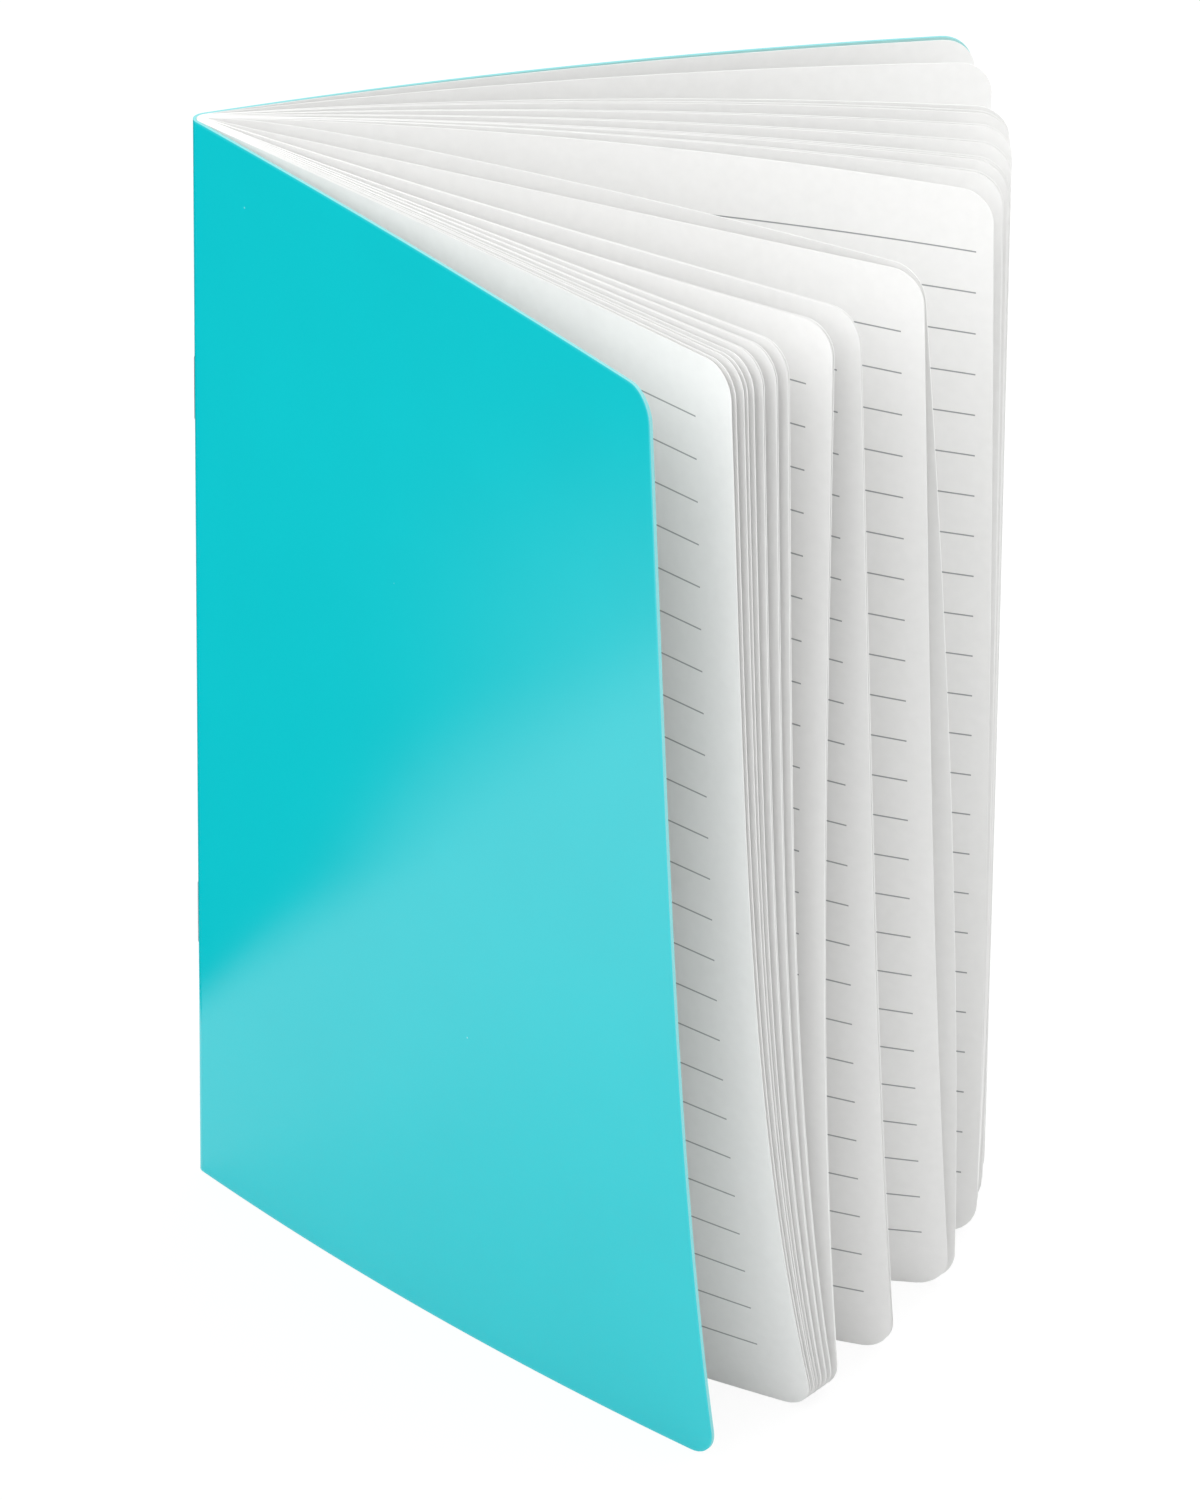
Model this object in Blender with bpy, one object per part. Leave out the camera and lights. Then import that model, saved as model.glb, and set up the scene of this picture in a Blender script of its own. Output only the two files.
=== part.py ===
# A ruled notebook of A5 height with a soft card cover, standing open on its lower edges.
# Folded sheets are nested in a folded cover and held by two wire staples
# through the fold. Every fold bends round one upright line, the fold axis.
# The origin is the foot of the spine, +X runs through the middle of the fan,
# +Y lies on the back cover's side and +Z is up. Sizes here are in millimetres.

import math

import bmesh
import bpy
from mathutils import Matrix

MM = 0.001

# Book
BOOK_WIDTH = 146.0
BOOK_HEIGHT = 210.0
CORNER_RADIUS = 6.0
SHEET_COUNT = 16

# Paper and card
PAPER_THICKNESS = 0.10
SHEET_CLEARANCE = 0.03
COVER_THICKNESS = 0.6
COVER_CLEARANCE = 0.05
FOLD_SLIT = 0.04
CREASE_GAP = 0.10

# Staples
WIRE_DIAMETER = 0.45
WIRE_CLEARANCE = 0.03
HOLE_CLEARANCE = 0.10
CROWN_LENGTH = 12.5
CLINCH_LENGTH = 4.5
CROWN_SINK = 0.20
STAPLE_INSET = 52.5

# How the fan stands, in degrees from +X. A row is a place in the fan, from 0 at
# the outermost leaf to 1 at the innermost, the heading at the fold, the turn
# close to the fold, the bend out to the fore edge, and the twist and the curl
# that the bend gains down to the lower corner.
FRONT_COVER = (-38.4, 0.0, -3.5, 9.0, 5.0)
BACK_COVER = (40.0, 0.0, -14.0, 1.0, -3.5)
FRONT_FAN = (
    (0.00, -32.5, 0.0, -2.0, 9.0, 12.0),
    (0.67, -29.5, 0.0, 2.5, 5.0, 10.0),
    (0.80, -29.0, 0.0, 11.0, 0.0, 6.5),
    (0.93, -22.5, 0.0, 3.5, 12.0, 4.5),
    (1.00, -13.0, 0.0, 1.0, 13.0, 8.5),
)
BACK_FAN = (
    (0.00, 39.4, 0.0, -14.0, 1.0, -3.5),
    (0.10, 35.2, 0.0, -15.0, 1.0, -4.0),
    (0.27, 27.0, 0.0, -18.5, 1.5, -4.5),
    (0.40, 23.0, 0.0, -15.5, 2.5, -6.0),
    (0.67, 16.5, 0.0, -15.0, 5.5, -10.5),
    (0.93, 13.5, 0.0, -21.0, 13.5, -7.0),
    (1.00, 13.0, -22.0, -9.5, 27.0, -6.0),
)
CURL_POWER = 4
ROOT_LENGTH = 12.0

# The place of each leaf in its fan, from the outermost in. Most leaves cling
# together in twos and threes, with wider gaps between.
FRONT_PLACES = (0.0, 0.05, 0.14, 0.18, 0.25, 0.355, 0.37, 0.51, 0.525, 0.655, 0.67, 0.795, 0.80, 0.925, 0.93, 1.0)
BACK_PLACES = (0.0, 0.1, 0.25, 0.265, 0.28, 0.39, 0.405, 0.53, 0.545, 0.655, 0.67, 0.685, 0.77, 0.785, 0.93, 1.0)

# Fineness of the facets
ARC_STEP = math.radians(15.0)
BLADE_STATIONS = (0.0, 0.045, 0.12, 0.25, 0.42, 0.6, 0.8, 1.0)
ROW_STATIONS = (0.0, 0.12, 0.3, 0.6, 1.0)
CORNER_STEPS = 3
BEND_STEP = 2.0
WIRE_SIDES = 8
WIRE_BEND_STEPS = 4

# Sizes that follow from those above
WIRE_RADIUS = WIRE_DIAMETER / 2
SHEET_PITCH = PAPER_THICKNESS + SHEET_CLEARANCE
INNER_FOLD_RADIUS = WIRE_RADIUS + WIRE_CLEARANCE + PAPER_THICKNESS / 2
OUTER_FOLD_RADIUS = INNER_FOLD_RADIUS + (SHEET_COUNT - 1) * SHEET_PITCH
COVER_FOLD_RADIUS = OUTER_FOLD_RADIUS + (PAPER_THICKNESS + COVER_THICKNESS) / 2 + COVER_CLEARANCE
SPINE_RADIUS = COVER_FOLD_RADIUS + COVER_THICKNESS / 2
TRIM_WIDTH = BOOK_WIDTH - SPINE_RADIUS
FOLD_AXIS_X = COVER_FOLD_RADIUS
CROWN_X = CROWN_SINK - SPINE_RADIUS - WIRE_RADIUS
PUNCH_RADIUS = WIRE_RADIUS + HOLE_CLEARANCE
WIRE_BEND_RADIUS = WIRE_DIAMETER * 0.7

FRONT = -1
BACK = 1


def clear_scene():
    for obj in list(bpy.data.objects):
        bpy.data.objects.remove(obj, do_unlink=True)


def make_material(name, colour, roughness, metallic=0.0):
    material = bpy.data.materials.new(name)
    material.use_nodes = True
    shader = material.node_tree.nodes["Principled BSDF"]
    shader.inputs["Base Color"].default_value = (*colour, 1.0)
    shader.inputs["Roughness"].default_value = roughness
    shader.inputs["Metallic"].default_value = metallic
    material.diffuse_color = (*colour, 1.0)
    return material


def add_object(name, bm, material, parent, place=(0.0, 0.0)):
    """Turns a mesh in millimetres round the fold axis into an object whose origin is at place."""
    bmesh.ops.recalc_face_normals(bm, faces=bm.faces)
    mesh = bpy.data.meshes.new(name)
    bm.transform(Matrix.Scale(MM, 4) @ Matrix.Translation((-place[0], -place[1], 0.0)))
    bm.to_mesh(mesh)
    bm.free()
    mesh.shade_smooth()
    mesh.set_sharp_from_angle(angle=math.radians(30))
    mesh.materials.append(material)
    obj = bpy.data.objects.new(name, mesh)
    obj.parent = parent
    obj.location = (place[0] * MM, place[1] * MM, 0.0)
    bpy.context.collection.objects.link(obj)
    return obj


def fan_form(fan, place):
    """The heading, turn, bend, twist and curl of a leaf, read between two rows of a fan."""
    for low, high in zip(fan, fan[1:]):
        if place <= high[0]:
            break
    share = (place - low[0]) / (high[0] - low[0])
    return tuple(a + (b - a) * share for a, b in zip(low[1:], high[1:]))


def heading_at(form, reach, drop):
    """A leaf's heading at a reach from the fold and a drop from its top, in radians."""
    start, turn, bend, twist, curl = (math.radians(value) for value in form)
    share = reach / TRIM_WIDTH
    sweep = bend + twist * drop + curl * drop ** CURL_POWER
    return start + turn * (1 - math.exp(-reach / ROOT_LENGTH)) + sweep * share


def leaf_point(form, side, radius, reach, z):
    """A point of a leaf at a reach from its fold and a height, and its heading there."""
    drop = 1 - z / BOOK_HEIGHT
    heading = heading_at(form, 0.0, drop)
    x = -side * radius * math.sin(heading)
    y = side * radius * math.cos(heading)
    steps = max(1, math.ceil(reach / BEND_STEP))
    step = reach / steps
    for index in range(steps):
        heading = heading_at(form, (index + 0.5) * step, drop)
        x += step * math.cos(heading)
        y += step * math.sin(heading)
    return (x, y, z, heading_at(form, reach, drop))


def blade_columns(form, side, radius, first_reach):
    """Columns of points over a leaf, shorter towards the fore edge where its corners are round."""
    width = TRIM_WIDTH + radius * abs(math.radians(form[0]))
    flat = width - CORNER_RADIUS - first_reach
    outline = [(first_reach + flat * share, 0.0) for share in BLADE_STATIONS]
    for step in range(1, CORNER_STEPS + 1):
        turn = math.pi / 2 * step / CORNER_STEPS
        outline.append((width - CORNER_RADIUS * (1 - math.sin(turn)), CORNER_RADIUS * (1 - math.cos(turn))))
    columns = []
    for reach, inset in outline:
        heights = [inset + row * (BOOK_HEIGHT - 2 * inset) for row in ROW_STATIONS]
        columns.append([leaf_point(form, side, radius, reach, z) for z in heights])
    return columns


def arc_columns(side, radius, first_angle, last_angle):
    """Full-height columns round a fold, by the angle turned from the spine's middle line."""
    angles = [first_angle]
    angle = ARC_STEP * (math.floor(first_angle / ARC_STEP) + 1)
    while angle < last_angle - ARC_STEP / 8:
        angles.append(angle)
        angle += ARC_STEP
    angles.append(last_angle)
    columns = []
    for angle in angles:
        x = -radius * math.cos(angle)
        y = side * radius * math.sin(angle)
        heading = side * (math.pi / 2 - angle)
        columns.append([(x, y, z, heading) for z in (0.0, BOOK_HEIGHT)])
    return columns


def sheet_mesh(columns, thickness):
    """A closed sheet: both faces of a grid of columns, with a rim all round."""
    bm = bmesh.new()
    faces = []
    for offset in (-thickness / 2, thickness / 2):
        face = []
        for column in columns:
            verts = []
            for x, y, z, heading in column:
                verts.append(bm.verts.new((x - offset * math.sin(heading), y + offset * math.cos(heading), z)))
            face.append(verts)
        faces.append(face)
        for near, far in zip(face, face[1:]):
            if len(near) == 2:
                bm.faces.new([near[0], *far, near[1]])
                continue
            for row in range(len(near) - 1):
                bm.faces.new([near[row], far[row], far[row + 1]])
                bm.faces.new([near[row], far[row + 1], near[row + 1]])
    back, front = faces
    for edge in (0, -1):
        for index in range(len(columns) - 1):
            rim = [back[index][edge], back[index + 1][edge], front[index + 1][edge], front[index][edge]]
            bm.faces.new(rim)
        for row in range(len(back[edge]) - 1):
            rim = [back[edge][row], back[edge][row + 1], front[edge][row + 1], front[edge][row]]
            bm.faces.new(rim)
    return bm


def leaf_mesh(form, side, radius):
    """One half of a folded sheet, from the slit at the spine's middle to the fore edge."""
    slit_angle = FOLD_SLIT / 2 / radius
    tangent_angle = math.pi / 2 - abs(math.radians(form[0]))
    columns = arc_columns(side, radius, slit_angle, tangent_angle)[:-1]
    columns += blade_columns(form, side, radius, 0.0)
    return sheet_mesh(columns, PAPER_THICKNESS)


def wire_path(staple_z, end_x, clinch):
    """The middle line of a staple in the XZ plane, with rounded bends."""
    half = CROWN_LENGTH / 2
    corners = [(end_x, half), (CROWN_X, half), (CROWN_X, -half), (end_x, -half)]
    if clinch:
        corners = [(end_x, half - clinch), *corners, (end_x, clinch - half)]
    path = [corners[0]]
    for before, corner, after in zip(corners, corners[1:], corners[2:]):
        arm_in = math.dist(before, corner)
        arm_out = math.dist(corner, after)
        inward = [(before[i] - corner[i]) / arm_in for i in (0, 1)]
        outward = [(after[i] - corner[i]) / arm_out for i in (0, 1)]
        centre = [corner[i] + WIRE_BEND_RADIUS * (inward[i] + outward[i]) for i in (0, 1)]
        for step in range(WIRE_BEND_STEPS + 1):
            turn = math.pi / 2 * step / WIRE_BEND_STEPS
            path.append(tuple(centre[i] - WIRE_BEND_RADIUS * (outward[i] * math.cos(turn)
                                                              + inward[i] * math.sin(turn)) for i in (0, 1)))
    path.append(corners[-1])
    return [(x, staple_z + z) for x, z in path]


def wire_mesh(path, radius):
    """A round wire swept along a path in the XZ plane, closed at both ends."""
    bm = bmesh.new()
    rings = []
    for index, (x, z) in enumerate(path):
        before = path[max(index - 1, 0)]
        after = path[min(index + 1, len(path) - 1)]
        length = math.dist(before, after)
        across = (-(after[1] - before[1]) / length, (after[0] - before[0]) / length)
        ring = []
        for side in range(WIRE_SIDES):
            turn = 2 * math.pi * (side + 0.5) / WIRE_SIDES
            out = radius * math.cos(turn)
            ring.append(bm.verts.new((x + across[0] * out, radius * math.sin(turn), z + across[1] * out)))
        rings.append(ring)
    for near, far in zip(rings, rings[1:]):
        for side in range(WIRE_SIDES):
            after = (side + 1) % WIRE_SIDES
            bm.faces.new([near[side], near[after], far[after], far[side]])
    bm.faces.new(rings[0])
    bm.faces.new(rings[-1])
    return bm


def add_cutter(name, bm, material, parent):
    cutter = add_object(name, bm, material, parent)
    cutter.hide_render = True
    cutter.display_type = "WIRE"
    return cutter


def punch(obj, cutters):
    for cutter in cutters:
        modifier = obj.modifiers.new(cutter.name, "BOOLEAN")
        modifier.operation = "DIFFERENCE"
        modifier.solver = "EXACT"
        modifier.object = cutter


def crease_point(form, side):
    """Where a cover turns on its crease: on the outside of the spine, where the cover leaves it."""
    heading = math.radians(form[0])
    return (-side * SPINE_RADIUS * math.sin(heading), side * SPINE_RADIUS * math.cos(heading))


def build_staples(material, parent):
    """Two staples through the fold, and the punches that cut their holes and seats."""
    punches = []
    for name, staple_z in (("staple_upper", BOOK_HEIGHT - STAPLE_INSET), ("staple_lower", STAPLE_INSET)):
        wire = wire_mesh(wire_path(staple_z, 0.0, CLINCH_LENGTH), WIRE_RADIUS)
        add_object(name, wire, material, parent)
        hole = wire_mesh(wire_path(staple_z, 0.0, 0.0), PUNCH_RADIUS)
        punches.append(add_cutter(name + "_punch", hole, material, parent))
    return punches


def build_leaves(material, parent, punches):
    """The folded sheets, each as a front and a back leaf, numbered as the pages turn."""
    for sheet in range(SHEET_COUNT):
        radius = OUTER_FOLD_RADIUS - sheet * SHEET_PITCH
        front_form = fan_form(FRONT_FAN, FRONT_PLACES[sheet])
        back_form = fan_form(BACK_FAN, BACK_PLACES[sheet])
        for side, form, number in ((FRONT, front_form, sheet + 1), (BACK, back_form, 2 * SHEET_COUNT - sheet)):
            bm = leaf_mesh(form, side, radius)
            leaf = add_object(f"leaf_{number:02d}", bm, material, parent)
            punch(leaf, punches)


def build_cover(material, parent, punches):
    """The folded card as its spine strip between the creases, and the two boards beside it."""
    for name, form, side in (("front_cover", FRONT_COVER, FRONT), ("back_cover", BACK_COVER, BACK)):
        columns = blade_columns(form, side, COVER_FOLD_RADIUS, CREASE_GAP)
        board = sheet_mesh(columns, COVER_THICKNESS)
        add_object(name, board, material, parent, crease_point(form, side))
    front_angle = math.pi / 2 - abs(math.radians(FRONT_COVER[0]))
    back_angle = math.pi / 2 - abs(math.radians(BACK_COVER[0]))
    strip = arc_columns(FRONT, COVER_FOLD_RADIUS, -back_angle, front_angle)
    spine = add_object("cover_spine", sheet_mesh(strip, COVER_THICKNESS), material, parent)
    punch(spine, punches)


def build_notebook():
    clear_scene()
    card = make_material("turquoise_card", (0.0, 0.57, 0.62), 0.35)
    paper = make_material("white_paper", (0.86, 0.86, 0.85), 0.8)
    steel = make_material("staple_wire", (0.62, 0.62, 0.6), 0.3, 1.0)
    axis = bpy.data.objects.new("fold_axis", None)
    axis.location = (FOLD_AXIS_X * MM, 0.0, 0.0)
    bpy.context.collection.objects.link(axis)
    punches = build_staples(steel, axis)
    build_leaves(paper, axis, punches)
    build_cover(card, axis, punches)


build_notebook()
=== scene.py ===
# Looks of a ruled A5 notebook that stands open: paper leaves, a dyed card cover and two staples.
# Lengths are in metres. One that is known in millimetres is written as so many MM.

import math

import bpy
from mathutils import Matrix, Vector


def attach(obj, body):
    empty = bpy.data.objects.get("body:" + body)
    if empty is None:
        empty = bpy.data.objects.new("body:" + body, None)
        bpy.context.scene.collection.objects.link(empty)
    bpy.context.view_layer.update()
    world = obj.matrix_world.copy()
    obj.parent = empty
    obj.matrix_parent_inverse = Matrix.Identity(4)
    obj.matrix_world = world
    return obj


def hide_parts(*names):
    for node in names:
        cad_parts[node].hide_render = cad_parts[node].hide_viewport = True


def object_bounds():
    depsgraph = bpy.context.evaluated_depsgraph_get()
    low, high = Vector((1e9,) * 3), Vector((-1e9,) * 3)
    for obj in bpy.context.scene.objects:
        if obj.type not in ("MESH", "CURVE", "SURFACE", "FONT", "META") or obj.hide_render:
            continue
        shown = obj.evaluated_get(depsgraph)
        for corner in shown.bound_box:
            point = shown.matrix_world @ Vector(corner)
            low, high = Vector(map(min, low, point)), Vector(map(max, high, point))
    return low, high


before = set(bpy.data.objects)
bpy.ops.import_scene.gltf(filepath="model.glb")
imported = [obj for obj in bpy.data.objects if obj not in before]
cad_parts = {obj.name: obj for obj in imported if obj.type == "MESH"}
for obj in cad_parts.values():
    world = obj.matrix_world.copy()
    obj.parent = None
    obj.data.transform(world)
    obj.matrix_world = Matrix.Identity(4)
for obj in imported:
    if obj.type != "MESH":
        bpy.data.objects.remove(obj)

cad_low, cad_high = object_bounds()

MM = 0.001

# Sheet and cover, as in the frame
BOOK_WIDTH = 146.0 * MM
BOOK_HEIGHT = cad_high.z - cad_low.z
CORNER_RADIUS = 6.0 * MM
SHEET_COUNT = 16
PAPER_THICKNESS = 0.10 * MM
SHEET_PITCH = 0.13 * MM
CARD_THICKNESS = 0.6 * MM
INNER_FOLD_RADIUS = 0.305 * MM
OUTER_FOLD_RADIUS = INNER_FOLD_RADIUS + (SHEET_COUNT - 1) * SHEET_PITCH
COVER_FOLD_RADIUS = 2.655 * MM
SPINE_RADIUS = COVER_FOLD_RADIUS + CARD_THICKNESS / 2
TRIM_WIDTH = BOOK_WIDTH - SPINE_RADIUS
ROOT_LENGTH = 12.0 * MM
FOLD_AXIS = Vector((COVER_FOLD_RADIUS, 0.0, 0.0))
FRONT = -1.0
BACK = 1.0

# How each piece stands, in degrees from +X: the heading at the fold, the turn
# close to it, the bend out to the fore edge, and the twist and the curl that
# the bend gains down to the lower corner. A fan's rows start with a place in
# the fan, from 0 at the outermost leaf to 1 at the innermost.
FRONT_COVER = (-38.4, 0.0, -3.5, 9.0, 5.0)
BACK_COVER = (40.0, 0.0, -14.0, 1.0, -3.5)
FRONT_FAN = (
    (0.00, -32.5, 0.0, -2.0, 9.0, 12.0),
    (0.67, -29.5, 0.0, 2.5, 5.0, 10.0),
    (0.80, -29.0, 0.0, 11.0, 0.0, 6.5),
    (0.93, -22.5, 0.0, 3.5, 12.0, 4.5),
    (1.00, -13.0, 0.0, 1.0, 13.0, 8.5),
)
BACK_FAN = (
    (0.00, 39.4, 0.0, -14.0, 1.0, -3.5),
    (0.10, 35.2, 0.0, -15.0, 1.0, -4.0),
    (0.27, 27.0, 0.0, -18.5, 1.5, -4.5),
    (0.40, 23.0, 0.0, -15.5, 2.5, -6.0),
    (0.67, 16.5, 0.0, -15.0, 5.5, -10.5),
    (0.93, 13.5, 0.0, -21.0, 13.5, -7.0),
    (1.00, 13.0, -22.0, -9.5, 27.0, -6.0),
)
# The curl grows with this power of the way down.
CURL_POWER = 4.0

# The place of each leaf in its fan, from the outermost in
FRONT_PLACES = (
    0.0, 0.05, 0.14, 0.18, 0.25, 0.355, 0.37, 0.51, 0.525, 0.655, 0.67, 0.795, 0.80, 0.925, 0.93, 1.0,
)
BACK_PLACES = (
    0.0, 0.1, 0.25, 0.265, 0.28, 0.39, 0.405, 0.53, 0.545, 0.655, 0.67, 0.685, 0.77, 0.785, 0.93, 1.0,
)

# How finely the sheets are meshed
SHEET_ROWS = 49
BEND_STEPS = 24
LEAF_COLUMNS = {"Fold Columns": 6, "Blade Columns": 44, "Corner Columns": 8}
BOARD_COLUMNS = {"Fold Columns": 0, "Blade Columns": 56, "Corner Columns": 10}
STRIP_COLUMNS = {"Fold Columns": 32, "Blade Columns": 0, "Corner Columns": 0}
# Faces that meet at more than this have a crisp edge between them.
CRISP_ANGLE = math.radians(40.0)

# The card's trimmed outline: its reach from the spine's middle, the rim that the blade rolls over and along
# which a highlight is painted, and how far dye has crept in on the inside
CARD_REACH = TRIM_WIDTH + COVER_FOLD_RADIUS * math.radians((BACK_COVER[0] - FRONT_COVER[0]) / 2)
RIM_WIDTH = 0.6 * MM
RIM_ROLL = 0.03 * MM
STAIN_WIDTH = 1.6 * MM

# How deep the fine relief of paper and card is
RELIEF = 0.05 * MM

# How far light wanders within paper, so that some of it comes out on the sheet's other side
LIGHT_DEPTH = 0.05 * MM

# Patterns, in cells to the metre
FLOCK_CELLS = 500.0    # clouds of fibre in paper, 2 mm
TOOTH_CELLS = 2500.0   # the paper's tooth, drawn at 0.4 mm: the finest that shows from a step away
DYE_CELLS = 35.0       # clouds in the card's dye, 29 mm
GRAIN_CELLS = 1800.0   # the calendered card's grain, 0.6 mm
DUST_CELLS = 60.0      # specks of dust, 17 mm apart
PULP_CELLS = 700.0     # fibres on the card's inside, 1.4 mm
CUT_CELLS = 3000.0     # loose fibres of a cut edge, 0.3 mm
DRAWN_CELLS = 4000.0   # marks that drawing has left on the wire, 0.25 mm
# The solid middle and the outer end of a speck of dust, in parts of a cell
SPECK_CORE = 0.006
SPECK_END = 0.013

# Ruling, from the fold's middle line and from the foot of the page
RULE_COUNT = 24
RULE_PITCH = 8.09 * MM
RULE_WIDTH = 0.26 * MM
RULE_TOP = 12.0 * MM
RULE_START = 6.0 * MM
RULE_END = 139.0 * MM
# The ink is full out to the first of these parts of a line's half width and gone at the second.
RULE_SOLID = 0.6
RULE_GONE = 1.4
# How far the ruling has drifted toward the fold on the leaves that were printed out of place
RULE_DRIFT = {"leaf_01": 2.0 * MM, "leaf_18": -1.5 * MM}

# Camera, fitted to the photograph's edges
CAMERA_PLACE = Vector((0.5748, -1.7390, 0.9454))
CAMERA_HEADING = math.radians(106.0)
CAMERA_PITCH = math.radians(25.149)
CAMERA_ROLL = math.radians(0.577)
# Focal length and sensor width are in millimetres.
CAMERA_LENS = 265.4
CAMERA_SENSOR = 36.0
CAMERA_NEAREST = 0.05
CAMERA_FARTHEST = 20.0

# Studio
NOTEBOOK_MIDDLE = Vector((0.06, -0.01, 0.10))
# Name, heading and elevation in degrees, and power in watts
SOFTBOXES = (
    ("front_softbox", -80.0, 40.0, 1.0), ("left_softbox", -130.0, 40.0, 3.9), ("rear_softbox", 60.0, 45.0, 6.0),
)
SOFTBOX_DISTANCE = 1.4
SOFTBOX_SIZE = 1.0
WHITE = (1.0, 1.0, 1.0, 1.0)
# A backdrop this bright is plain white to the camera. The notebook gets a little less from around it.
BACKDROP_LIGHT = 1.05
ROOM_LIGHT = 0.96
FLOOR_SIZE = 6.0
# The floor and the flag lie this far below the notebook, so that no two faces lie in one plane.
FLOOR_DROP = 0.2 * MM
FLAG_DROP = 0.1 * MM
# How much of the floor is plain white, straight from the camera and in a mirror image
FLOOR_WHITE = 0.85
FLOOR_MIRRORED_WHITE = 0.3
# The near edge of the flag that lies on the floor to the left of the notebook: x, y
# and half the width over which it thins out to nothing
FLAG_EDGE = (
    (-0.060, 0.010, 0.005), (-0.125, -0.029, 0.011), (-0.200, -0.051, 0.020),
    (-0.300, -0.056, 0.040), (-0.500, -0.080, 0.065), (-1.500, -0.200, 0.100),
)
FLAG_FAR_Y = 1.2


def colour(code):
    """An sRGB hex colour as linear light."""
    parts = [int(code[i:i + 2], 16) / 255 for i in (1, 3, 5)]
    return (*[c / 12.92 if c <= 0.04045 else ((c + 0.055) / 1.055) ** 2.4 for c in parts], 1.0)


def add(tree, kind, inputs=(), **settings):
    """A node of one kind with its settings. An input is a value, or a socket to link."""
    node = tree.nodes.new(kind)
    for name, value in settings.items():
        setattr(node, name, value)
    for key, value in dict(inputs).items():
        if isinstance(value, bpy.types.NodeSocket):
            tree.links.new(value, node.inputs[key])
        else:
            node.inputs[key].default_value = value
    return node


def maths(tree):
    """A function that adds a Math node to the tree and gives its result."""
    def math_of(operation, *values):
        return add(tree, "ShaderNodeMath", dict(enumerate(values)), operation=operation).outputs[0]
    return math_of


def map_range(tree, value, *limits, **settings):
    """A value carried from one range, its low and high, to another. Both are 0 to 1 unless given."""
    inputs = {0: value, **{key + 1: limit for key, limit in enumerate(limits)}}
    return add(tree, "ShaderNodeMapRange", inputs, **settings).outputs[0]


def noise(tree, cells, detail):
    """Soft noise that is fixed to the piece, with so many cells to the metre."""
    place = add(tree, "ShaderNodeTexCoord").outputs["Object"]
    return add(tree, "ShaderNodeTexNoise", {"Vector": place, "Scale": cells, "Detail": detail}).outputs["Fac"]


def blend(tree, share, first, second):
    """A colour that goes from the first to the second as the share goes from 0 to 1."""
    return add(tree, "ShaderNodeMix", {"Factor": share, "A": first, "B": second}, data_type="RGBA").outputs[2]


def page_map(tree):
    """The place on the flat page: along from the fold's middle line, and up from the foot."""
    return add(tree, "ShaderNodeUVMap", uv_map="page").outputs[0]


def new_material(name):
    material = bpy.data.materials.new(name)
    material.use_nodes = True
    tree = material.node_tree
    tree.nodes.clear()
    return material, tree


def finish_material(tree, shader):
    add(tree, "ShaderNodeOutputMaterial", {"Surface": shader})


def finish_principled(tree, inputs):
    finish_material(tree, add(tree, "ShaderNodeBsdfPrincipled", inputs).outputs[0])


def near_trim(tree, reach, depth):
    """1 at the trimmed outline of a sheet with round corners, and 0 from a depth inside it on."""
    def vector_of(operation, *values):
        return add(tree, "ShaderNodeVectorMath", dict(enumerate(values)), operation=operation)

    middle = (0.0, BOOK_HEIGHT / 2, 0.0)
    from_middle = vector_of("SUBTRACT", page_map(tree), middle).outputs[0]
    from_middle = vector_of("ABSOLUTE", from_middle).outputs[0]
    corner = (reach - CORNER_RADIUS, BOOK_HEIGHT / 2 - CORNER_RADIUS, 0.0)
    past = vector_of("SUBTRACT", from_middle, corner).outputs[0]
    past = vector_of("MAXIMUM", past, (0.0, 0.0, 0.0)).outputs[0]
    out = vector_of("LENGTH", past).outputs["Value"]
    return map_range(tree, out, CORNER_RADIUS - depth, CORNER_RADIUS, interpolation_type="SMOOTHSTEP")


def rule_ink(tree):
    """1 on the ruled lines of a page and 0 between them."""
    math_of = maths(tree)
    axes = add(tree, "ShaderNodeSeparateXYZ", {0: page_map(tree)})
    along, height = axes.outputs[0], axes.outputs[1]
    drop = math_of("SUBTRACT", BOOK_HEIGHT - RULE_TOP, height)
    number = math_of("DIVIDE", drop, RULE_PITCH)
    nearest = math_of("ROUND", number)
    off = math_of("ABSOLUTE", math_of("SUBTRACT", number, nearest))
    half = RULE_WIDTH / RULE_PITCH / 2
    ink = map_range(tree, off, half * RULE_SOLID, half * RULE_GONE, 1.0, 0.0)
    for low, value, high in ((-0.5, nearest, RULE_COUNT - 0.5), (RULE_START, along, RULE_END)):
        ink = math_of("MULTIPLY", ink, math_of("GREATER_THAN", value, low))
        ink = math_of("MULTIPLY", ink, math_of("LESS_THAN", value, high))
    return ink


def ruled_paper():
    """Uncoated 80 g writing paper: a dull white with a faint cloud of fibres, ruled in thin grey ink."""
    material, tree = new_material("ruled_writing_paper")
    white = blend(tree, noise(tree, FLOCK_CELLS, 3.0), colour("#F0F0EF"), colour("#F6F6F5"))
    inked = blend(tree, rule_ink(tree), white, colour("#9A9C9E"))
    tooth = noise(tree, TOOTH_CELLS, 2.0)
    bump = add(tree, "ShaderNodeBump", {"Strength": 0.05, "Distance": RELIEF, "Height": tooth})
    finish_principled(tree, {
        "Base Color": inked, "Roughness": 0.85, "Specular IOR Level": 0.25,
        "Subsurface Weight": 1.0, "Subsurface Radius": (1.0, 1.0, 1.0), "Subsurface Scale": LIGHT_DEPTH,
        "Normal": bump.outputs[0]})
    return material


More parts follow.
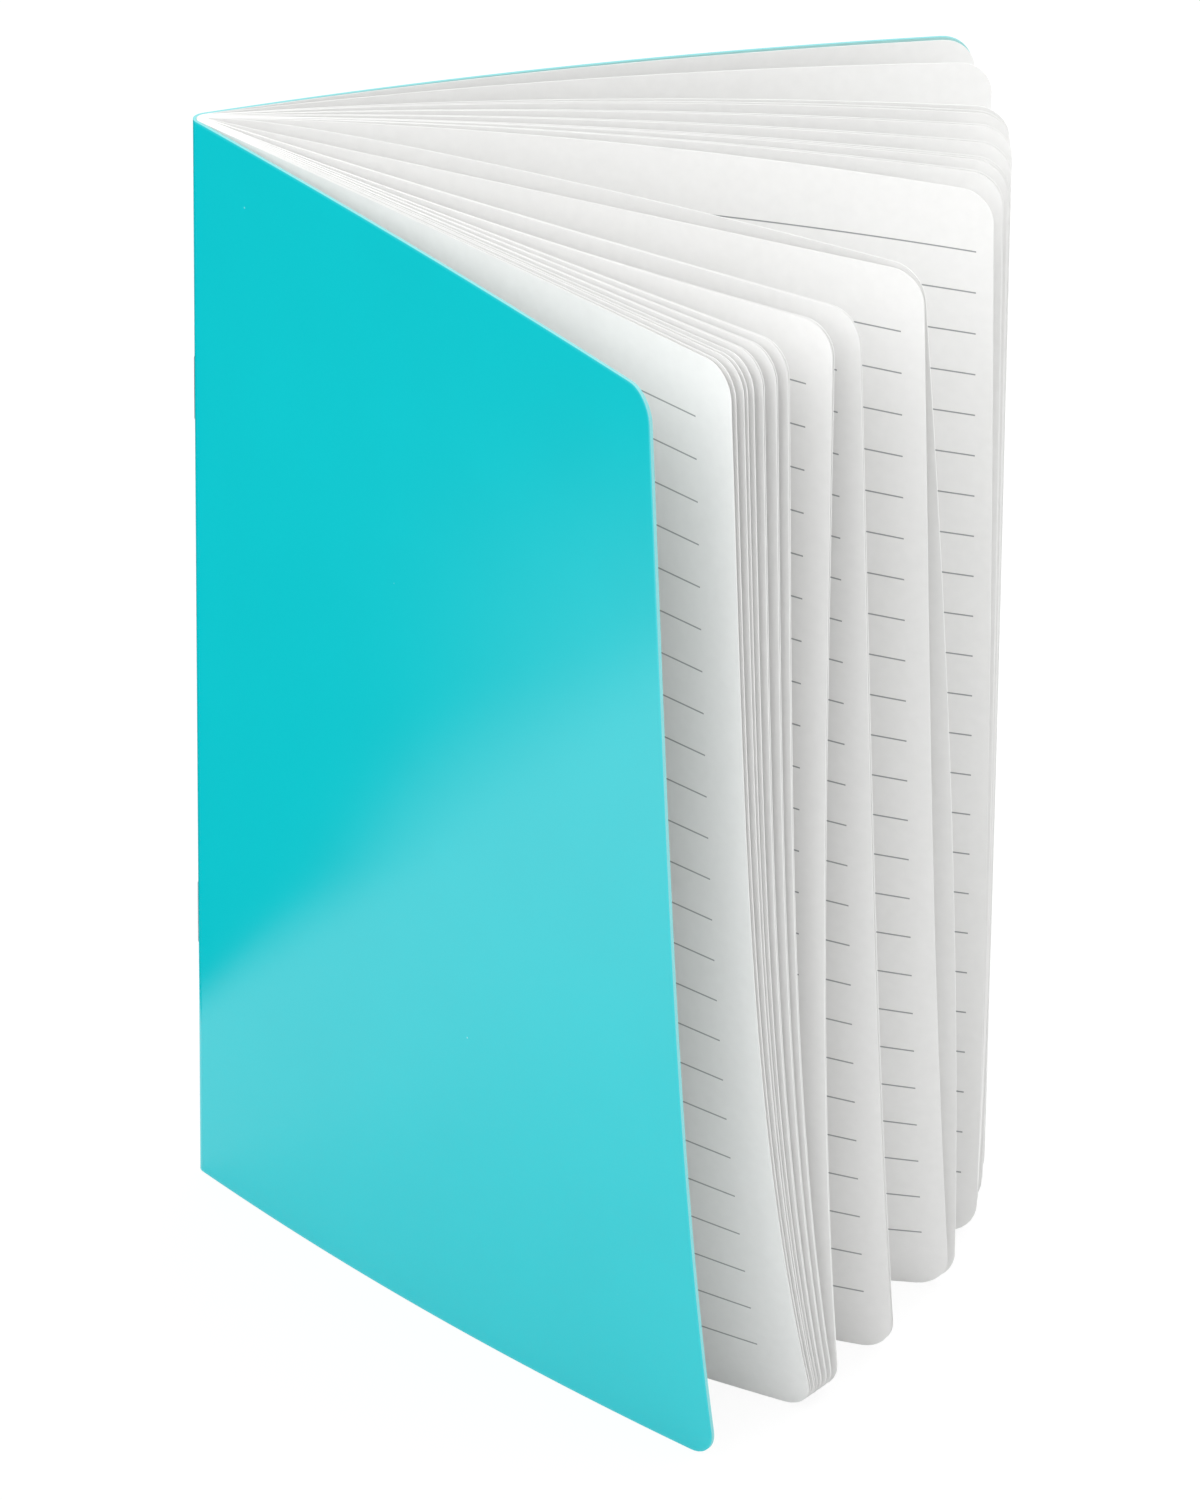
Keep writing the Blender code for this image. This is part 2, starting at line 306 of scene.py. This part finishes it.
def dyed_card():
    """Card dyed through and calendered smooth: deep turquoise with a satin sheen, a few specks of dust and a
    painted highlight along its rim.
    """
    material, tree = new_material("turquoise_dyed_card")
    dyed = blend(tree, noise(tree, DYE_CELLS, 2.0), colour("#00BFC8"), colour("#00C4CD"))
    place = add(tree, "ShaderNodeTexCoord").outputs["Object"]
    dust = add(tree, "ShaderNodeTexVoronoi", {"Vector": place, "Scale": DUST_CELLS}, feature="F1")
    speck = map_range(tree, dust.outputs["Distance"], SPECK_CORE, SPECK_END, 0.6, 0.0)
    dusty = blend(tree, speck, dyed, colour("#A8E6E8"))
    grain = noise(tree, GRAIN_CELLS, 2.0)
    rough = map_range(tree, grain, 0.0, 1.0, 0.12, 0.16)
    # The rim is rolled over by the blade; the paler colour along it is a painted highlight, where the rolled
    # rim catches the light.
    rim = near_trim(tree, CARD_REACH, RIM_WIDTH)
    colour_with_painted_rim_highlight = blend(tree, rim, dusty, colour("#34CAD2"))
    rolled = add(tree, "ShaderNodeBump", {"Strength": 1.0, "Distance": -RIM_ROLL, "Height": rim})
    bump = add(tree, "ShaderNodeBump", {
        "Strength": 0.03, "Distance": RELIEF, "Height": grain, "Normal": rolled.outputs[0]})
    finish_principled(tree, {
        "Base Color": colour_with_painted_rim_highlight, "Roughness": rough, "Specular IOR Level": 0.5, "Normal": bump.outputs[0]})
    return material


def card_inside():
    """The uncoated back of the card: its pulp takes only a little of the dye."""
    material, tree = new_material("uncoated_inside_of_card")
    fibres = noise(tree, PULP_CELLS, 3.0)
    pale = blend(tree, fibres, colour("#E6EEED"), colour("#EEF4F3"))
    # Dye has crept in from the cut edge.
    stained = blend(tree, near_trim(tree, CARD_REACH, STAIN_WIDTH), pale, colour("#ADE3E1"))
    bump = add(tree, "ShaderNodeBump", {"Strength": 0.06, "Distance": RELIEF, "Height": fibres})
    finish_principled(tree, {
        "Base Color": stained, "Roughness": 0.8, "Specular IOR Level": 0.25, "Normal": bump.outputs[0]})
    return material


def card_edge():
    """The guillotined edge of the card: the same dye, paler where the blade has left loose fibres."""
    material, tree = new_material("cut_edge_of_card")
    pale = blend(tree, noise(tree, CUT_CELLS, 2.0), colour("#80D0D4"), colour("#98DBDD"))
    finish_principled(tree, {"Base Color": pale, "Roughness": 0.8, "Specular IOR Level": 0.2})
    return material


def paper_edge():
    """The trimmed edge of a leaf: bright, because light leaves the sheet there."""
    material, tree = new_material("trimmed_edge_of_paper")
    white = blend(tree, noise(tree, CUT_CELLS, 2.0), colour("#F6F6F5"), colour("#FCFCFB"))
    finish_principled(tree, {"Base Color": white, "Roughness": 0.9, "Specular IOR Level": 0.2})
    return material


def staple_wire():
    """Galvanised stitching wire: dull silver with fine drawing marks."""
    material, tree = new_material("galvanised_stitching_wire")
    rough = map_range(tree, noise(tree, DRAWN_CELLS, 2.0), 0.0, 1.0, 0.25, 0.42)
    finish_principled(tree, {"Base Color": colour("#C9CBCC"), "Metallic": 1.0, "Roughness": rough})
    return material


SHEET_INPUTS = (
    ("Side", "NodeSocketFloat"), ("Fold Radius", "NodeSocketFloat"), ("Fold Angle", "NodeSocketFloat"),
    ("Heading", "NodeSocketFloat"), ("Turn", "NodeSocketFloat"), ("Bend", "NodeSocketFloat"),
    ("Twist", "NodeSocketFloat"), ("Curl", "NodeSocketFloat"), ("Width", "NodeSocketFloat"),
    ("Print Drift", "NodeSocketFloat"),
    ("Fold Columns", "NodeSocketInt"), ("Blade Columns", "NodeSocketInt"), ("Corner Columns", "NodeSocketInt"),
    ("Rows", "NodeSocketInt"), ("Material", "NodeSocketMaterial"),
)


def sheet_tree():
    """Bends a flat sheet: round the fold by an angle, then out along its heading to the fore edge."""
    tree = bpy.data.node_groups.new("Fanned Sheet", "GeometryNodeTree")
    for name, kind in SHEET_INPUTS:
        tree.interface.new_socket(name, in_out="INPUT", socket_type=kind)
    tree.interface.new_socket("Geometry", in_out="OUTPUT", socket_type="NodeSocketGeometry")
    given = add(tree, "NodeGroupInput").outputs
    math_of = maths(tree)

    # A unit grid, whose columns share out over the fold, the blade and the round corners
    fold_end = given["Fold Columns"]
    before_corner = math_of("ADD", fold_end, given["Blade Columns"])
    columns = math_of("ADD", before_corner, given["Corner Columns"])
    grid = add(tree, "GeometryNodeMeshGrid", {
        "Size X": 1.0, "Size Y": 1.0, "Vertices X": math_of("ADD", columns, 1.0), "Vertices Y": given["Rows"]})
    unit = add(tree, "ShaderNodeSeparateXYZ", {0: add(tree, "GeometryNodeInputPosition").outputs[0]})
    column = math_of("MULTIPLY", math_of("ADD", unit.outputs[0], 0.5), columns)
    row = math_of("ADD", unit.outputs[1], 0.5)

    # How far round the fold a column still has to go, how far out it reaches, and its height
    flat_width = math_of("SUBTRACT", given["Width"], CORNER_RADIUS)
    unfolded = map_range(tree, column, 0.0, fold_end, given["Fold Angle"], 0.0)
    flat = map_range(tree, column, fold_end, before_corner, 0.0, flat_width)
    corner = map_range(tree, column, before_corner, columns, 0.0, math.pi / 2)
    beyond = math_of("MULTIPLY", math_of("SINE", corner), CORNER_RADIUS)
    reach = math_of("ADD", flat, beyond)
    inset = math_of("MULTIPLY", math_of("SUBTRACT", 1.0, math_of("COSINE", corner)), CORNER_RADIUS)
    tall = math_of("MULTIPLY_ADD", inset, -2.0, BOOK_HEIGHT)
    height = math_of("MULTIPLY_ADD", row, tall, inset)
    drop = math_of("SUBTRACT", 1.0, math_of("DIVIDE", height, BOOK_HEIGHT))
    curl = math_of("MULTIPLY", math_of("POWER", drop, CURL_POWER), given["Curl"])
    sweep = math_of("ADD", math_of("MULTIPLY_ADD", drop, given["Twist"], given["Bend"]), curl)

    # Round the fold
    turned = math_of("MULTIPLY_ADD", unfolded, given["Side"], given["Heading"])
    swing = math_of("MULTIPLY", given["Side"], given["Fold Radius"])
    root_x = math_of("MULTIPLY_ADD", math_of("MULTIPLY", math_of("SINE", turned), swing), -1.0, FOLD_AXIS.x)
    root_y = math_of("MULTIPLY", math_of("COSINE", turned), swing)
    root = add(tree, "ShaderNodeCombineXYZ", {0: root_x, 1: root_y, 2: height}).outputs[0]

    # Out along the heading, in short steps
    repeat_in = tree.nodes.new("GeometryNodeRepeatInput")
    repeat_out = tree.nodes.new("GeometryNodeRepeatOutput")
    repeat_in.pair_with_output(repeat_out)
    repeat_out.repeat_items.clear()
    repeat_out.repeat_items.new("INT", "Step")
    repeat_out.repeat_items.new("VECTOR", "Place")
    repeat_in.inputs["Iterations"].default_value = BEND_STEPS
    repeat_in.inputs["Step"].default_value = 0
    tree.links.new(root, repeat_in.inputs["Place"])
    middle = math_of("DIVIDE", math_of("ADD", repeat_in.outputs["Step"], 0.5), float(BEND_STEPS))
    gone = math_of("MULTIPLY", middle, reach)
    fade = math_of("EXPONENT", math_of("DIVIDE", gone, -ROOT_LENGTH))
    turn = math_of("MULTIPLY", math_of("SUBTRACT", 1.0, fade), given["Turn"])
    bend = math_of("MULTIPLY", math_of("DIVIDE", gone, TRIM_WIDTH), sweep)
    heading = math_of("ADD", given["Heading"], math_of("ADD", turn, bend))
    ahead = add(tree, "ShaderNodeCombineXYZ", {0: math_of("COSINE", heading), 1: math_of("SINE", heading)})
    stride = math_of("DIVIDE", reach, float(BEND_STEPS))
    step = add(tree, "ShaderNodeVectorMath", {0: ahead.outputs[0], "Scale": stride}, operation="SCALE")
    moved = add(tree, "ShaderNodeVectorMath", {0: repeat_in.outputs["Place"], 1: step.outputs[0]},
                operation="ADD")
    tree.links.new(math_of("ADD", repeat_in.outputs["Step"], 1.0), repeat_out.inputs["Step"])
    tree.links.new(moved.outputs[0], repeat_out.inputs["Place"])

    # The page map, in metres from the fold's middle line and from the foot
    arc_gone = math_of("SUBTRACT", given["Fold Angle"], unfolded)
    drifted = math_of("ADD", reach, given["Print Drift"])
    along = math_of("MULTIPLY_ADD", arc_gone, given["Fold Radius"], drifted)
    page = add(tree, "ShaderNodeCombineXYZ", {0: along, 1: height})
    mapped = add(tree, "GeometryNodeStoreNamedAttribute", {
        "Geometry": grid.outputs["Mesh"], "Name": "page", "Value": page.outputs[0]},
        data_type="FLOAT2", domain="CORNER")
    placed = add(tree, "GeometryNodeSetPosition", {
        "Geometry": mapped.outputs[0], "Position": repeat_out.outputs["Place"]})
    smooth = add(tree, "GeometryNodeSetShadeSmooth", {"Geometry": placed.outputs[0]})
    real = add(tree, "GeometryNodeRealizeInstances", {"Geometry": smooth.outputs[0]})
    painted = add(tree, "GeometryNodeSetMaterial", {
        "Geometry": real.outputs[0], "Material": given["Material"]})
    add(tree, "NodeGroupOutput", {"Geometry": painted.outputs[0]})
    return tree


def evaluated(piece):
    """What an object's modifiers make of it, as a plain mesh."""
    bpy.context.view_layer.update()
    return bpy.data.meshes.new_from_object(piece.evaluated_get(bpy.context.evaluated_depsgraph_get()))


def plain_mesh(name, tree, values, thickness, materials):
    """One evaluation of a tree as a plain mesh, given its thickness on both sides of its middle.
    The materials are those of the face to the right of a run from the fold, of the other face
    and of the edge."""
    piece = bpy.data.objects.new(name, bpy.data.meshes.new(name + "_flat"))
    bpy.context.collection.objects.link(piece)
    modifier = piece.modifiers.new("Form", "NODES")
    modifier.node_group = tree
    sockets = {s.name: s.identifier for s in tree.interface.items_tree if s.in_out == "INPUT"}
    for key, value in values.items():
        modifier[sockets[key]] = value
    piece.data = evaluated(piece)
    piece.modifiers.clear()
    piece.data.materials.clear()
    for material in materials:
        piece.data.materials.append(material)
    wall = piece.modifiers.new("Thickness", "SOLIDIFY")
    wall.thickness = thickness
    wall.offset = 0.0
    wall.material_offset = 1
    wall.material_offset_rim = 2
    piece.data = evaluated(piece)
    piece.modifiers.clear()
    # The trimmed edge stays crisp; the face beside it isn't shaded as if it rolled over.
    piece.data.set_sharp_from_angle(angle=CRISP_ANGLE)
    piece.data.name = name
    return piece


def fan_form(fan, place):
    """The form of a leaf at a place in its fan, read between two rows."""
    for low, high in zip(fan, fan[1:]):
        if place <= high[0]:
            break
    share = (place - low[0]) / (high[0] - low[0])
    return tuple(a + (b - a) * share for a, b in zip(low[1:], high[1:]))


def form_values(form, side, radius):
    heading, turn, bend, twist, curl = (math.radians(value) for value in form)
    return {
        "Side": side, "Fold Radius": radius, "Heading": heading, "Turn": turn, "Bend": bend, "Twist": twist,
        "Curl": curl, "Width": TRIM_WIDTH + radius * abs(heading), "Rows": SHEET_ROWS,
    }


def make_leaves(tree, paper, edge):
    for sheet in range(SHEET_COUNT):
        radius = OUTER_FOLD_RADIUS - sheet * SHEET_PITCH
        front_form = fan_form(FRONT_FAN, FRONT_PLACES[sheet])
        back_form = fan_form(BACK_FAN, BACK_PLACES[sheet])
        halves = ((FRONT, front_form, sheet + 1), (BACK, back_form, 2 * SHEET_COUNT - sheet))
        for side, form, number in halves:
            node = f"leaf_{number:02d}"
            values = form_values(form, side, radius)
            values.update(LEAF_COLUMNS)
            values.update({
                "Fold Angle": math.pi / 2 - abs(values["Heading"]),
                "Print Drift": RULE_DRIFT.get(node, 0.0), "Material": paper})
            leaf = plain_mesh("ruled_" + node, tree, values, PAPER_THICKNESS, (paper, paper, edge))
            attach(leaf, node)
            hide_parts(node)


def make_cover(tree, coated, inside, edge):
    boards = (("front_cover", FRONT_COVER, FRONT, (coated, inside, edge)),
              ("back_cover", BACK_COVER, BACK, (inside, coated, edge)))
    for node, form, side, faces in boards:
        values = form_values(form, side, COVER_FOLD_RADIUS)
        values.update(BOARD_COLUMNS)
        values.update({"Fold Angle": 0.0, "Material": coated})
        board = plain_mesh("card_" + node, tree, values, CARD_THICKNESS, faces)
        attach(board, node)
        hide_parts(node)
    front, back = math.radians(FRONT_COVER[0]), math.radians(BACK_COVER[0])
    values = form_values(FRONT_COVER, FRONT, COVER_FOLD_RADIUS)
    values.update(STRIP_COLUMNS)
    # The strip is all fold. With this width, nothing of it is left past the crease.
    values.update({"Fold Angle": math.pi + front - back, "Width": CORNER_RADIUS, "Material": coated})
    strip = plain_mesh("card_spine", tree, values, CARD_THICKNESS, (coated, inside, edge))
    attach(strip, "spine")
    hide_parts("cover_spine")


def dress_staples(wire):
    for node in ("staple_upper", "staple_lower"):
        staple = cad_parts[node]
        staple.data.materials.clear()
        staple.data.materials.append(wire)


def make_floor():
    """A pale floor that is white to the camera and keeps the notebook's soft shadow."""
    mesh = bpy.data.meshes.new("floor")
    half = FLOOR_SIZE / 2
    corners = [(-half, -half, 0), (half, -half, 0), (half, half, 0), (-half, half, 0)]
    mesh.from_pydata(corners, [], [(0, 1, 2, 3)])
    floor = bpy.data.objects.new("floor", mesh)
    floor.location.z = cad_low.z - FLOOR_DROP
    bpy.context.collection.objects.link(floor)
    material, tree = new_material("pale_floor")
    math_of = maths(tree)
    rays = add(tree, "ShaderNodeLightPath").outputs
    # A mirror image keeps more of the floor's own shading than the camera's straight view does.
    mirrored = math_of("ADD", rays["Is Glossy Ray"], rays["Is Transmission Ray"])
    mirrored = math_of("MULTIPLY", mirrored, FLOOR_MIRRORED_WHITE)
    whiten = math_of("MULTIPLY_ADD", rays["Is Camera Ray"], FLOOR_WHITE, mirrored)
    lit = add(tree, "ShaderNodeBsdfDiffuse", {"Color": colour("#F2F2F2")})
    white = add(tree, "ShaderNodeEmission", {"Color": WHITE, "Strength": BACKDROP_LIGHT})
    mixed = add(tree, "ShaderNodeMixShader", {0: whiten, 1: lit.outputs[0], 2: white.outputs[0]})
    finish_material(tree, mixed.outputs[0])
    mesh.materials.append(material)


def make_flag():
    """A black flag on the floor beside the notebook. Its mirror image keeps the cover's upper half deep
    in colour."""
    corners, faces, veil = [], [], []
    for x, y, soft in FLAG_EDGE:
        corners += [(x, y - soft, 0.0), (x, y + soft, 0.0), (x, FLAG_FAR_Y, 0.0)]
        veil += [0.0, 1.0, 1.0]
    for first in range(0, len(corners) - 3, 3):
        faces += [(first, first + 1, first + 4, first + 3), (first + 1, first + 2, first + 5, first + 4)]
    mesh = bpy.data.meshes.new("flag")
    mesh.from_pydata(corners, [], faces)
    mesh.attributes.new("veil", "FLOAT", "POINT").data.foreach_set("value", veil)
    flag = bpy.data.objects.new("flag", mesh)
    flag.location.z = cad_low.z - FLAG_DROP
    bpy.context.collection.objects.link(flag)
    material, tree = new_material("black_flag")
    thick = add(tree, "ShaderNodeAttribute", attribute_name="veil").outputs["Fac"]
    black = add(tree, "ShaderNodeBsdfDiffuse", {"Color": colour("#060606")})
    clear = add(tree, "ShaderNodeBsdfTransparent")
    mixed = add(tree, "ShaderNodeMixShader", {0: thick, 1: clear.outputs[0], 2: black.outputs[0]})
    finish_material(tree, mixed.outputs[0])
    mesh.materials.append(material)
    flag.visible_camera = False
    flag.visible_diffuse = False
    flag.visible_shadow = False


def make_world():
    """A white studio: white to the camera, a plain soft light to the notebook."""
    world = bpy.data.worlds.new("studio")
    bpy.context.scene.world = world
    world.use_nodes = True
    tree = world.node_tree
    tree.nodes.clear()
    math_of = maths(tree)
    rays = add(tree, "ShaderNodeLightPath").outputs
    seen = math_of("ADD", rays["Is Camera Ray"], rays["Is Glossy Ray"])
    seen = math_of("ADD", seen, rays["Is Transmission Ray"])
    strength = map_range(tree, seen, 0.0, 1.0, ROOM_LIGHT, BACKDROP_LIGHT)
    back = add(tree, "ShaderNodeBackground", {"Color": WHITE, "Strength": strength})
    add(tree, "ShaderNodeOutputWorld", {"Surface": back.outputs[0]})


def add_softbox(name, heading, elevation, power):
    """A square softbox that looks at the notebook from a heading and an elevation in degrees."""
    light = bpy.data.lights.new(name, "AREA")
    light.size = SOFTBOX_SIZE
    light.energy = power
    lamp = bpy.data.objects.new(name, light)
    bpy.context.collection.objects.link(lamp)
    heading, elevation = math.radians(heading), math.radians(elevation)
    level = math.cos(elevation)
    aim = Vector((level * math.cos(heading), level * math.sin(heading), math.sin(elevation)))
    lamp.location = NOTEBOOK_MIDDLE + aim * SOFTBOX_DISTANCE
    lamp.rotation_euler = aim.to_track_quat("Z", "Y").to_euler()


def make_camera():
    data = bpy.data.cameras.new("camera")
    data.lens = CAMERA_LENS
    data.sensor_width = CAMERA_SENSOR
    data.clip_start = CAMERA_NEAREST
    data.clip_end = CAMERA_FARTHEST
    camera = bpy.data.objects.new("camera", data)
    bpy.context.collection.objects.link(camera)
    level = Vector((math.cos(CAMERA_HEADING), math.sin(CAMERA_HEADING), 0.0))
    forward = level * math.cos(CAMERA_PITCH) - Vector((0.0, 0.0, math.sin(CAMERA_PITCH)))
    right = forward.cross(Vector((0.0, 0.0, 1.0))).normalized()
    up = right.cross(forward)
    rolled = right * math.cos(CAMERA_ROLL) + up * math.sin(CAMERA_ROLL)
    up = rolled.cross(forward)
    axes = Matrix((rolled, up, -forward)).transposed()
    camera.matrix_world = Matrix.Translation(CAMERA_PLACE) @ axes.to_4x4()
    bpy.context.scene.camera = camera


def build_notebook():
    bpy.context.scene.view_settings.view_transform = "Standard"
    sheets = sheet_tree()
    make_leaves(sheets, ruled_paper(), paper_edge())
    make_cover(sheets, dyed_card(), card_inside(), card_edge())
    dress_staples(staple_wire())
    make_floor()
    make_flag()
    make_world()
    for softbox in SOFTBOXES:
        add_softbox(*softbox)
    make_camera()


build_notebook()
